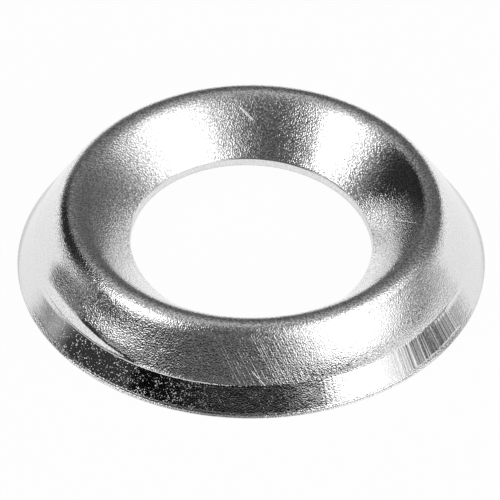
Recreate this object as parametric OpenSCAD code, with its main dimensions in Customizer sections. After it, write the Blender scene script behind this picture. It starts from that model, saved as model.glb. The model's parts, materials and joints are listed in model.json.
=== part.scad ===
// Finishing cup washer: one ring pressed from thin sheet, with a countersunk
// funnel that seats a screw head, a rounded crown and a skirt that stands on
// the work. The origin is the centre of the foot's underside, and +Z points up.

/* [Overall] */
// Diameter over the trimmed foot
rim_d = 16; // [15.4:0.1:17]
// Height from the underside of the foot to the top of the crown
height = 2.62; // [2.5:0.02:3]
// Thickness of the pressed sheet
sheet_t = 0.3; // [0.2:0.01:0.4]

/* [Screw seat] */
// Diameter of the pierced bore
bore_d = 8.25; // [7.8:0.05:9.5]
// Full angle of the countersunk funnel
seat_angle = 90; // [84:1:100]
// Height of the smooth sheared land at the top of the bore wall
land_h = 0.25; // [0.1:0.01:0.3]
// Flare of the rough break below the land, away from upright
break_angle = 20; // [5:1:30]

/* [Crown] */
// Diameter of the circle along the top of the crown
crown_d = 12.15; // [11.8:0.05:12.6]
// Radius of the crown's upper surface
crown_r = 0.58; // [0.5:0.01:0.7]

/* [Skirt] */
// Slope of the upper skirt, above the horizontal
flank_angle = 58; // [55:1:62]
// Height of the crease between the upper skirt and the rim band
crease_h = 0.97; // [0.7:0.01:1.2]
// Width of the foot that stands out beyond the rim band
foot_w = 0.14; // [0.1:0.01:0.25]
// Thickness of the foot
foot_t = 0.12; // [0.09:0.01:0.25]
// Round along the foot's upper outer edge
foot_round = 0.08; // [0.03:0.01:0.09]

/* [Hidden] */
$fn = 128;
rim_r = rim_d / 2;
bore_r = bore_d / 2;
under_r = crown_r - sheet_t;
crown_c = [crown_d / 2, height - crown_r];
seat_slope = 90 - seat_angle / 2;
funnel_top = crown_c + crown_r * [-sin(seat_slope), cos(seat_slope)];
land_top = funnel_top.y - (funnel_top.x - bore_r) * tan(seat_slope);
flank_top = crown_c + crown_r * [sin(flank_angle), cos(flank_angle)];
flank_l = (flank_top.y - crease_h) / sin(flank_angle);
crease = flank_top + flank_l * [cos(flank_angle), -sin(flank_angle)];
band = [rim_r - foot_w, foot_t] - crease;
// Turn of the sheet at the crease, positive where the band is the steeper one
crease_turn = atan2(-band.y, band.x) - flank_angle;
// Spare length that the trimming cuts take off
spare = 1;

// Square regions left and right of the frame's upright axis
module left_half() {
    translate([-height, -height])
        square([height, 2 * height]);
}

module right_half() {
    translate([0, -height])
        square([height, 2 * height]);
}

// Arc of sheet over the crown, about the arc's centre
module crown() {
    difference() {
        circle(r = crown_r);
        circle(r = under_r);
        rotate(seat_slope)
            left_half();
        rotate(-flank_angle)
            right_half();
    }
}

// Straight sheet of the funnel, running left from the crown's arc
module funnel() {
    length = (funnel_top.x - bore_r) / cos(seat_slope) + spare;
    translate([-length, under_r])
        square([length, sheet_t]);
}

// Straight sheet of the upper skirt and of the rim band that turns down from
// it at the crease, running right from the crown's arc
module skirt() {
    run = norm(band) + spare;
    along = run * [cos(crease_turn), -sin(crease_turn)];
    across = sheet_t * [-sin(crease_turn), -cos(crease_turn)];
    outer = [flank_l, crown_r];
    inner = [flank_l - sheet_t * tan(crease_turn / 2), under_r];
    polygon([[0, under_r], inner, outer + across + along, outer + along, outer, [0, crown_r]]);
}

// Foot left by the trimming cut, with its upper outer edge rounded
module foot() {
    width = foot_w - foot_round + sheet_t / 2;
    depth = foot_t - foot_round + spare;
    translate([rim_r - foot_round, foot_t - foot_round]) {
        circle(r = foot_round);
        translate([-width, -depth])
            square([width, depth + foot_round]);
        translate([-width, -depth])
            square([width + foot_round, depth]);
    }
}

// Pierced hole: a straight land, and below it the flared break
module pierced_hole() {
    square([bore_r, height]);
    land_end = land_top - land_h;
    polygon([
        [0, 0],
        [bore_r + land_end * tan(break_angle), 0],
        [bore_r, land_end],
        [0, land_end]
    ]);
}

module section() {
    difference() {
        union() {
            translate(crown_c) {
                crown();
                rotate(seat_slope)
                    funnel();
                rotate(-flank_angle)
                    skirt();
            }
            foot();
        }
        pierced_hole();
        translate([0, -2 * spare])
            square([2 * rim_r, 2 * spare]);
    }
}

module cup_washer() {
    color("silver")
        rotate_extrude()
            section();
}

cup_washer();
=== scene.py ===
import json
import math

import bpy
import numpy as np
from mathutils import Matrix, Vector


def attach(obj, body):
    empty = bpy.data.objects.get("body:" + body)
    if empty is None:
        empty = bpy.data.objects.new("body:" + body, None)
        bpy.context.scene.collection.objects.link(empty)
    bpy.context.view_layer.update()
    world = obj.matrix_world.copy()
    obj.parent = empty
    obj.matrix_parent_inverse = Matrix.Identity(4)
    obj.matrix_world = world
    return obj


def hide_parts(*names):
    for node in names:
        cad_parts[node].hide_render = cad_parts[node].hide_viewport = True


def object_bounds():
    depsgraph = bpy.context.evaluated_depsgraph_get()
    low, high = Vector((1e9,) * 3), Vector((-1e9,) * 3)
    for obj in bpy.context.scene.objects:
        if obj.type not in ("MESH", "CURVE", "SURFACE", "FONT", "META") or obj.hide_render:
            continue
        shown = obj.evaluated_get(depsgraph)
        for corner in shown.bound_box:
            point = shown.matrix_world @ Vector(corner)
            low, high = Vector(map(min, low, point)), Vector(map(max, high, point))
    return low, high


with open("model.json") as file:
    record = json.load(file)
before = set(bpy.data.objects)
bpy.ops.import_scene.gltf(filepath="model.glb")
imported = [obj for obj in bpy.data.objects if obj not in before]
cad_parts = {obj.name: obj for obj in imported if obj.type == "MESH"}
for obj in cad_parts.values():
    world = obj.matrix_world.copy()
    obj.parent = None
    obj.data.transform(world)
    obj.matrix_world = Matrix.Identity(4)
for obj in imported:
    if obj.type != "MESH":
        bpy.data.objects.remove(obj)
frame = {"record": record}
cad_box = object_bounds()

# Cup washer: one ring pressed from thin steel sheet and bright nickel plated.
# The bore was pierced, the funnel and crown were drawn over it in a die, and
# the skirt was trimmed round its foot.
MM = 0.001
rim_r = cad_box[1].x / MM
height = cad_box[1].z / MM
bore_r = next(m["dims"]["r_mm"] for m in frame["record"]["mounts"] if m["name"] == "screw_bore")
sheet_t = 0.3
crown_ring_r = 6.075
crown_r = 0.58
land_h = 0.25
around = 320


def sheet_path(start, heading, runs):
    """Points along a chain of arcs in the section. Each run is (length, turn in degrees, steps). A step's
    chord points along the heading at its middle, and is its arc times sin(half turn) / (half turn)."""
    length, turn, steps = np.array(runs, float).T
    steps = steps.astype(int)
    bend = np.repeat(np.radians(turn) / steps, steps)
    chord = np.repeat(length / steps, steps) * np.sinc(bend / (2 * np.pi))
    way = math.radians(heading) + np.cumsum(bend) - bend / 2
    moves = chord[:, None] * np.stack([np.cos(way), np.sin(way)], 1)
    return np.concatenate([[start], start + np.cumsum(moves, 0)])


def arc(radius, turn, steps):
    """A run that turns by an angle at a radius: its length is the radius times the angle in radians."""
    return (radius * abs(math.radians(turn)), turn, steps)


top = np.array([crown_ring_r, height])
funnel_side = sheet_path(top, 180, [
    arc(crown_r, 29, 20), arc(1.3, 8, 6), arc(3.0, 5, 4), (1.8815, 8.5, 26), arc(0.06, 39.5, 4),
])
foot_slope = 24
skirt_runs = [
    arc(crown_r, -47, 26),
    arc(1.1, -7, 6),
    arc(2.4, -4, 4),
    (1.39, 0, 28),
    (0.06, -3.3, 6),
    (1.01, 0, 30),
    arc(0.03, 37.3, 5),
]
edge_r = 0.02
turned = edge_r * (1 - math.sin(math.radians(foot_slope)))
to_rim = (rim_r - turned - sheet_path(top, 0, skirt_runs)[-1, 0]) / math.cos(math.radians(foot_slope))
skirt_side = sheet_path(top, 0, skirt_runs + [(to_rim, 0, 3), arc(edge_r, foot_slope - 90, 5)])
under_top = top - (0, sheet_t)
under_r = crown_r - sheet_t
under_funnel = sheet_path(under_top, 180, [
    arc(under_r, 29, 14), arc(1.0, 8, 4), arc(2.7, 5, 3), (1.859, 8.5, 22), (0.10, 0, 2),
])
under_skirt = sheet_path(under_top, 0, [
    arc(under_r, -47, 18), arc(0.8, -7, 4), arc(2.1, -4, 3), (1.38, 0, 22), (0.02, -5, 2), (0.93, 0, 16),
])
land_top = funnel_side[-1, 1]
# The foot is flat from just inside the rim to just outside the skirt's underside.
foot_r = 0.015
foot_in = 0.1
hem_in = 0.03
outline = np.concatenate([
    funnel_side[::-1],
    skirt_side[1:],
    np.linspace((rim_r, skirt_side[-1, 1]), (rim_r, foot_r), 4)[1:],
    sheet_path((rim_r, foot_r), -90, [arc(foot_r, -90, 3)])[1:],
    np.linspace((rim_r - foot_in, 0), (under_skirt[-1, 0] + hem_in, 0), 5),
    under_skirt[::-1],
    under_funnel[1:],
    np.linspace(under_funnel[-1], (bore_r, land_top - land_h), 5)[1:],
    np.linspace((bore_r, land_top - land_h), (bore_r, land_top), 8)[1:-1],
])
upper = np.arange(len(outline))[:, None] < len(funnel_side) + len(skirt_side) - 1
flank_from, flank_to = 6.62, 7.43
flank_slope = math.radians(58)
crease_h = 0.97
lean_x, lean_y = -0.040, 0.038


def pressed_ring(outline):
    """The outline turned round the axis, as uneven as the press left it. On the right the flank swells out
    by k (s - s^3), with s the way down it. On the left it bulges above the crease: up by a smooth step, and
    straight down to the crease over a width that tapers along the ring. A bell curve makes a fine burr on
    the crease. At the sides the rim band runs on straight from the flank. The funnel leans: its height
    changes by a share of the place across the ring, which grows from the crown to the bore."""
    angle = np.linspace(0, 2 * np.pi, around, endpoint=False)
    turn = np.degrees((angle + np.pi / 2 + np.pi) % (2 * np.pi) - np.pi)
    r, z = outline[:, :1], outline[:, 1:]
    below = upper & (r > flank_to)
    down = np.clip((r - flank_from) / (flank_to - flank_from), 0, 1)
    swell_most, swell_at, swell_half = 0.17, 38, 24
    swell = swell_most * np.exp(-(((turn - swell_at) / swell_half) ** 4)) * (down - down**3)
    burr_h, burr_w, burr_at, burr_half = 0.007, 0.014, -22, 21
    burr = burr_h * np.exp(-(((turn - burr_at) / burr_half) ** 4))
    burr = burr * np.exp(-(((r - flank_to) / burr_w) ** 2))
    bulge_w, bulge_rise, bulge_from, bulge_to = 0.19, 0.50, -78, -29
    taper_left, taper_front = 12, 24
    wide = bulge_w * np.clip((bulge_to - turn) / taper_front, 0, 1)
    wide = np.maximum(wide * np.clip((turn - bulge_from) / taper_left, 0, 1), 1e-6)
    rising = np.clip(1 - (flank_to - wide - r) / bulge_rise, 0, 1)
    falling = np.clip(1 - (flank_to - r) / wide, 0, 1)
    steep_left, steep_front, steep_from, steep_blend = 0.25, 0.50, -62, 24
    steep = steep_left + (steep_front - steep_left) * np.clip((turn - steep_from) / steep_blend, 0, 1)
    bulge = steep * wide * rising**2 * (3 - 2 * rising) * (1 - falling)
    out = (swell + burr + bulge) * upper
    r = r + out * math.sin(flank_slope)
    z = z + out * math.cos(flank_slope)
    side_from, side_blend = 0.76, 0.26
    at_side = np.clip((side_from - np.abs(np.sin(angle))) / side_blend, 0, 1)
    at_side = at_side**2 * (3 - 2 * at_side)
    straight = np.minimum(flank_to + (crease_h - z) / math.tan(flank_slope), rim_r)
    r = np.where(below, r + at_side * np.maximum(straight - r, 0), r)
    x, y = r * np.cos(angle), r * np.sin(angle)
    inward = np.clip((crown_ring_r - r) / (crown_ring_r - bore_r), 0, 1)
    share = inward**2 * (1.6 - 0.6 * inward)
    z = z + share * (lean_x * x + lean_y * y)
    return np.stack([x, y, z], -1)


points = pressed_ring(outline) * MM
i, j = np.meshgrid(np.arange(len(outline)), np.arange(around), indexing="ij")
next_i, next_j = (i + 1) % len(outline), (j + 1) % around
quads = np.stack([i * around + j, next_i * around + j, next_i * around + next_j, i * around + next_j], -1)
mesh = bpy.data.meshes.new("cup_washer_pressing")
mesh.from_pydata(points.reshape(-1, 3), [], quads.reshape(-1, 4).tolist())
mesh.polygons.foreach_set("use_smooth", np.ones(len(mesh.polygons), bool))
mesh.update()
washer = bpy.data.objects.new("cup_washer_pressing", mesh)
bpy.context.scene.collection.objects.link(washer)


def add(tree, kind, sockets=(), **settings):
    """Adds a node. Each entry of sockets gives an input a constant or the output to link to it."""
    made = tree.nodes.new(kind)
    for name, value in settings.items():
        setattr(made, name, value)
    for key, value in dict(sockets).items():
        if isinstance(value, bpy.types.NodeSocket):
            tree.links.new(value, made.inputs[key])
        else:
            made.inputs[key].default_value = value
    return made


def calc(tree, operation, a, b=0.0):
    """Output of a Math node on two values."""
    return add(tree, "ShaderNodeMath", {0: a, 1: b}, operation=operation).outputs[0]


def ramp(tree, value, start, end, low=0.0, high=1.0):
    """Smooth step of a value, from low at start to high at end."""
    return add(tree, "ShaderNodeMapRange", {
        "Value": value, "From Min": start, "From Max": end, "To Min": low, "To Max": high,
    }, interpolation_type="SMOOTHSTEP").outputs["Result"]


plating = bpy.data.materials.new("nickel_plating")
plating.use_nodes = True
tree = plating.node_tree
tree.nodes.clear()
metres = add(tree, "ShaderNodeTexCoord").outputs["Object"]
# Place and radius are in millimetres. Turn is the ring angle in radians, zero in front and positive right.
place = add(tree, "ShaderNodeVectorMath", {0: metres, "Scale": 1 / MM}, operation="SCALE").outputs[0]
flat = add(tree, "ShaderNodeVectorMath", {0: place, 1: (1, 1, 0)}, operation="MULTIPLY").outputs[0]
radius = add(tree, "ShaderNodeVectorMath", {0: flat}, operation="LENGTH").outputs["Value"]
round_axis = add(tree, "ShaderNodeVectorMath", {0: flat}, operation="NORMALIZE").outputs[0]
xyz = add(tree, "ShaderNodeSeparateXYZ", {0: place})
turn = calc(tree, "ARCTAN2", xyz.outputs["X"], calc(tree, "MULTIPLY", xyz.outputs["Y"], -1.0))


def noise(tree, vector, scale, detail=0.0):
    """Value of a Noise node, from 0 to 1."""
    return add(tree, "ShaderNodeTexNoise", {
        "Vector": vector, "Scale": scale, "Detail": detail,
    }).outputs["Fac"]


def product(tree, *values):
    """Product of several values."""
    result = values[0]
    for value in values[1:]:
        result = calc(tree, "MULTIPLY", result, value)
    return result


def total(tree, *values):
    """Sum of several values."""
    result = values[0]
    for value in values[1:]:
        result = calc(tree, "ADD", result, value)
    return result


def most(tree, *values):
    """Greatest of several values."""
    result = values[0]
    for value in values[1:]:
        result = calc(tree, "MAXIMUM", result, value)
    return result


def window(tree, value, start, end, soft):
    """One between start and end, falling to zero over a soft edge on both sides."""
    rising = ramp(tree, value, start - soft, start + soft)
    return product(tree, rising, ramp(tree, value, end - soft, end + soft, 1, 0))


def dot(tree, vector, axis):
    """How far a place lies along an axis."""
    return add(tree, "ShaderNodeVectorMath", {0: vector, 1: axis}, operation="DOT_PRODUCT").outputs["Value"]


def stroke(tree, start, end, width):
    """A scratch from start to end: one along the middle of the line, and zero from half its width on."""
    line = Vector(end) - Vector(start)
    out = add(tree, "ShaderNodeVectorMath", {0: place, 1: start}, operation="SUBTRACT").outputs[0]
    way = add(tree, "ShaderNodeClamp", {"Value": dot(tree, out, line / line.length_squared)}).outputs[0]
    nearest = add(tree, "ShaderNodeVectorMath", {0: line, "Scale": way}, operation="SCALE").outputs[0]
    gap = add(tree, "ShaderNodeVectorMath", {0: out, 1: nearest}, operation="DISTANCE").outputs["Value"]
    return ramp(tree, gap, 0.2 * width, 0.5 * width, 1, 0)


# Calm zones: places where the plating is smoother than its usual fine peel.
peel_um = 10.5
calm_peel_um = 0.8
wave_um = 4
on_band = window(tree, radius, 7.445, 7.90, 0.015)
on_skirt = ramp(tree, radius, 6.6, 6.9)
on_land = ramp(tree, radius, 4.14, 4.17, 1, 0)
in_funnel = ramp(tree, radius, 5.7, 6.0, 1, 0)
at_sides = product(tree, on_skirt, ramp(tree, calc(tree, "ABSOLUTE", turn), 1.0, 1.3))
left_strip = product(tree, window(tree, radius, 7.26, 7.45, 0.05), window(tree, turn, -1.3, -0.55, 0.12))
right_funnel = product(tree, in_funnel, window(tree, turn, 1.3, 2.25, 0.3))
two_shines = total(tree, window(tree, turn, -2.92, -2.33, 0.1), window(tree, turn, 2.45, 2.72, 0.1))
far_funnel = product(tree, in_funnel, ramp(tree, radius, 4.2, 4.4), two_shines)
calm = most(
    tree,
    product(tree, at_sides, 0.85),
    product(tree, left_strip, 0.7),
    product(tree, right_funnel, 0.42),
    product(tree, on_band, ramp(tree, turn, -0.6, -0.2, 0.88, 0.72)),
    product(tree, far_funnel, 0.65),
    product(tree, on_land, 0.85),
)
peel = product(tree, noise(tree, place, 22), ramp(tree, calm, 0, 1, peel_um, calm_peel_um))
peel = product(tree, peel, ramp(tree, radius, 5.7, 6.2, 1.0, 0.9))
wave = product(tree, noise(tree, place, 2.2, 1), wave_um)
# Marks: die lines on the band, hairlines in front, raised specks, dull dots, and four scratches.
hairline_um = -2.2
speck_um = 5
scratch_um = -6
die = total(tree, ramp(tree, turn, -0.3, 0.2, 1, 5), product(tree, window(tree, turn, 0.72, 1.1, 0.05), 14))
die_lines = product(tree, noise(tree, round_axis, 55, 1), on_band, die)
slant = add(tree, "ShaderNodeCombineXYZ", {
    "X": product(tree, dot(tree, place, (0.887, 0.349, 0.304)), 22),
    "Y": product(tree, dot(tree, place, (0.447, -0.474, -0.758)), 0.7),
}).outputs[0]
on_front = product(tree, window(tree, radius, 6.55, 7.42, 0.05), window(tree, turn, -0.3, 0.5, 0.35))
hairlines = product(tree, ramp(tree, noise(tree, slant, 1), 0.54, 0.66), on_front, hairline_um)
crowded = ramp(tree, noise(tree, place, 4), 0.35, 0.65, 0.03, -0.08)
specks = ramp(tree, total(tree, noise(tree, place, 20), crowded), 0.69, 0.73)
specks = product(tree, specks, on_band, window(tree, turn, -1.15, -0.25, 0.2))
dots = ramp(tree, total(tree, noise(tree, place, 23), crowded), 0.70, 0.74)
dots = product(tree, dots, on_skirt, window(tree, turn, -0.7, 0.35, 0.25), 0.6)
far_scratch = stroke(tree, (-0.34, 5.409, 2.298), (0.037, 5.121, 2.046), 0.10)
crown_nick = stroke(tree, (4.06, -3.75, 2.31), (4.363, -3.68, 2.475), 0.14)
right_scratch = stroke(tree, (4.897, 0.154, 1.68), (5.654, -0.938, 2.498), 0.06)
front_scratch = stroke(tree, (0.065, -7.184, 1.36), (0.466, -7.407, 0.978), 0.05)
scratches = total(tree, far_scratch, right_scratch, front_scratch)
height_um = total(
    tree, peel, wave, die_lines, hairlines,
    product(tree, specks, speck_um), product(tree, scratches, scratch_um),
)
# Shade: a fine speckle on the even nickel, lighter where the surface is worn.
plate_shade = 0.74
plate_rough = 0.10
worn_rough = 0.55
speckle = ramp(tree, noise(tree, place, 17), 0.25, 0.7, -1, 1)
mottle = product(tree, ramp(tree, radius, 6.4, 6.8, 0.26, 0.11), ramp(tree, radius, 4.14, 4.2, 0.25, 1))
mottle = product(tree, mottle, ramp(tree, at_sides, 0, 1, 1, 0.4))
shade = total(tree, product(tree, speckle, mottle), plate_shade)
shade = product(tree, shade, ramp(tree, crown_nick, 0, 1, 1, 0.1))
worn = most(tree, specks, dots, far_scratch)
shade = most(tree, shade, product(tree, on_band, plate_shade), worn)
tint = add(tree, "ShaderNodeCombineColor", {0: shade, 1: shade, 2: shade}).outputs[0]
micrometre = 1e-6
bump = add(tree, "ShaderNodeBump", {"Height": height_um, "Strength": 1, "Distance": micrometre})
metal = add(tree, "ShaderNodeBsdfPrincipled", {
    "Base Color": tint,
    "Metallic": 1,
    "Roughness": ramp(tree, worn, 0, 1, plate_rough, worn_rough),
    "Normal": bump.outputs["Normal"],
})
add(tree, "ShaderNodeOutputMaterial", {"Surface": metal.outputs["BSDF"]})
mesh.materials.append(plating)

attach(washer, "root")
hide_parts("cup_washer")

# Floor: a plain white acrylic table top. The camera and the metal see it white,
# a small share of its own shading keeps the washer's shadow, and at a grazing
# look its gloss mirrors the dim room. In the metal's reflections a painted
# shadow dims its white under the washer's sheet.
floor_mesh = bpy.data.meshes.new("floor")
half = 1.5
floor_z = -0.01 * MM
white_share = 0.97
floor_mesh.from_pydata(
    [(-half, -half, floor_z), (half, -half, floor_z), (half, half, floor_z), (-half, half, floor_z)],
    [], [(0, 1, 2, 3)],
)
floor = bpy.data.objects.new("floor", floor_mesh)
bpy.context.scene.collection.objects.link(floor)
acrylic = bpy.data.materials.new("white_acrylic")
acrylic.use_nodes = True
tree = acrylic.node_tree
tree.nodes.clear()
ray = add(tree, "ShaderNodeLightPath")
in_metal = ray.outputs["Is Glossy Ray"]
spot = add(tree, "ShaderNodeTexCoord").outputs["Object"]
reach = add(tree, "ShaderNodeVectorMath", {0: spot}, operation="LENGTH").outputs["Value"]
# Painted shadow: in the metal's reflections the table's white drops to 0.6 of its share under the washer's
# sheet, from 4.6 to 8 mm out, rising back to full towards the bore and past the rim.
painted_shadow_inner = ramp(tree, reach, 3.4 * MM, 4.6 * MM, 1, 0.6)
white_outside_painted_shadow = most(tree, painted_shadow_inner, ramp(tree, reach, 8.0 * MM, 8.4 * MM))
seen = most(tree, ray.outputs["Is Camera Ray"], product(tree, in_metal, white_outside_painted_shadow))
shaded = add(tree, "ShaderNodeBsdfDiffuse", {"Color": (0.9, 0.9, 0.9, 1)})
white = add(tree, "ShaderNodeEmission", {"Color": (1, 1, 1, 1), "Strength": 1})
table = add(tree, "ShaderNodeMixShader", {
    0: product(tree, seen, white_share), 1: shaded.outputs[0], 2: white.outputs[0],
})
gloss = add(tree, "ShaderNodeBsdfGlossy", {"Color": (1, 1, 1, 1), "Roughness": 0.1})
facing = add(tree, "ShaderNodeLayerWeight", {"Blend": 0.5}).outputs["Facing"]
grazing = ramp(tree, facing, 0.900, 0.995)
polished = add(tree, "ShaderNodeMixShader", {
    0: product(tree, grazing, in_metal), 1: table.outputs[0], 2: gloss.outputs[0],
})
add(tree, "ShaderNodeOutputMaterial", {"Surface": polished.outputs[0]})
floor_mesh.materials.append(acrylic)

# Light: a dim room with dark corners, a large softbox on each side of the
# camera, a faint sweep behind the table and the table's dark front edge.
# To the camera the surroundings are white.


def toward(azimuth, elevation):
    """Unit vector from its turn from the camera's side towards +X and its height above the table,
    both in degrees."""
    a, e = math.radians(azimuth), math.radians(elevation)
    return Vector((math.sin(a) * math.cos(e), -math.cos(a) * math.cos(e), math.sin(e)))


def sine(degrees):
    """Sine of an angle in degrees: the upward share of a look at that height."""
    return math.sin(math.radians(degrees))


def along(axis):
    """How far the look runs along an axis."""
    return add(tree, "ShaderNodeVectorMath", {0: look, 1: axis}, operation="DOT_PRODUCT").outputs["Value"]


def softbox(azimuth, elevation, half_width, half_height, edges, roll=0.0):
    """Mask of a flat rectangle one unit away, from its slopes across and up, with soft edges."""
    facing = toward(azimuth, elevation)
    across = Vector((0, 0, 1)).cross(facing).normalized()
    upward = facing.cross(across)
    turn = math.radians(roll)
    across, upward = (
        across * math.cos(turn) + upward * math.sin(turn),
        upward * math.cos(turn) - across * math.sin(turn),
    )
    ahead = along(facing)
    mask = ramp(tree, ahead, 0.0, 0.1)
    depth = calc(tree, "MAXIMUM", ahead, 0.01)
    for axis, reach, low, high in ((across, half_width, *edges[:2]), (upward, half_height, *edges[2:])):
        slope = calc(tree, "DIVIDE", along(axis), depth)
        mask = product(tree, mask, ramp(tree, slope, -reach - low, -reach + low))
        mask = product(tree, mask, ramp(tree, slope, reach - high, reach + high, 1, 0))
    return mask


def corner(azimuth, elevation, inner, outer, share):
    """Share of the room's light that is left in a dark corner, by the angle from the corner's middle."""
    return ramp(tree, along(toward(azimuth, elevation)), sine(90 - outer), sine(90 - inner), 1, share)


world = bpy.data.worlds.new("studio")
bpy.context.scene.world = world
world.use_nodes = True
tree = world.node_tree
tree.nodes.clear()
look = add(tree, "ShaderNodeTexCoord").outputs["Generated"]
parts = add(tree, "ShaderNodeSeparateXYZ", {0: look})
rise, rear = parts.outputs["Z"], parts.outputs["Y"]
room = ramp(tree, rise, sine(35), sine(67), 0.45, 1.00)
low = ramp(tree, rise, sine(10), sine(32), 1, 0)
low_front = product(tree, low, ramp(tree, rear, -0.09, 0.24, 1, 0))
room = product(tree, room, ramp(tree, low_front, 0, 1, 1, 0.08))
behind = corner(161, 28, 20, 65, 0.29)
overhead = corner(-18, 62, 0, 57, 0.12)
left_rear = corner(-127, 23, 18, 35, 0.06)
sweep = product(tree, ramp(tree, rise, 0.0, sine(5), 0.05, 0), ramp(tree, rear, 0.75, 1.10))
room = product(tree, total(tree, product(tree, room, behind, overhead), sweep), left_rear)
left_level = 2.95
left_edges = (0.04, 0.16, 0.33, 0.55)
left_box = product(tree, softbox(-71.1, 40.7, 0.230, 0.261, left_edges, 23), left_level)
right_level = 1.91
right_edges = (0.41, 0.55, 0.03, 0.60)
right_box = product(tree, softbox(57.8, 35.0, 0.413, 0.555, right_edges, -22), right_level)
light = total(tree, room, left_box, right_box)
edge_low = ramp(tree, rise, sine(13), sine(17), 1, 0)
edge_ahead = ramp(tree, along(toward(-10, 0)), sine(42), sine(45))
table_edge = product(tree, edge_low, edge_ahead)
light = product(tree, light, ramp(tree, table_edge, 0, 1, 1, 0.02))
ray = add(tree, "ShaderNodeLightPath")
level = add(tree, "ShaderNodeMix", {
    "Factor": ray.outputs["Is Camera Ray"], "A": light, "B": 1.0,
}, data_type="FLOAT").outputs["Result"]
backdrop = add(tree, "ShaderNodeBackground", {"Color": (1, 1, 1, 1), "Strength": level})
add(tree, "ShaderNodeOutputWorld", {"Surface": backdrop.outputs[0]})

# Camera: a long lens from in front and above, as the photograph was taken.
# It looks a little above the washer's middle, so the frame is the photograph's.
camera_elevation = math.radians(41.14)
back = Vector((0, -math.cos(camera_elevation), math.sin(camera_elevation)))
image_up = Vector((0, math.sin(camera_elevation), math.cos(camera_elevation)))
focal_px = 7008
frame_px = 500
distance = 240 * MM
aim_right = -0.040 * MM
aim_up = 0.374 * MM
aim = Vector((aim_right, 0, 0)) + image_up * aim_up
camera_data = bpy.data.cameras.new("camera")
camera_data.sensor_width = 36
camera_data.lens = camera_data.sensor_width * focal_px / frame_px
camera = bpy.data.objects.new("camera", camera_data)
bpy.context.scene.collection.objects.link(camera)
camera.location = aim + back * distance
camera.rotation_euler = (-back).to_track_quat("-Z", "Y").to_euler()
bpy.context.scene.camera = camera
bpy.context.scene.view_settings.view_transform = "Standard"
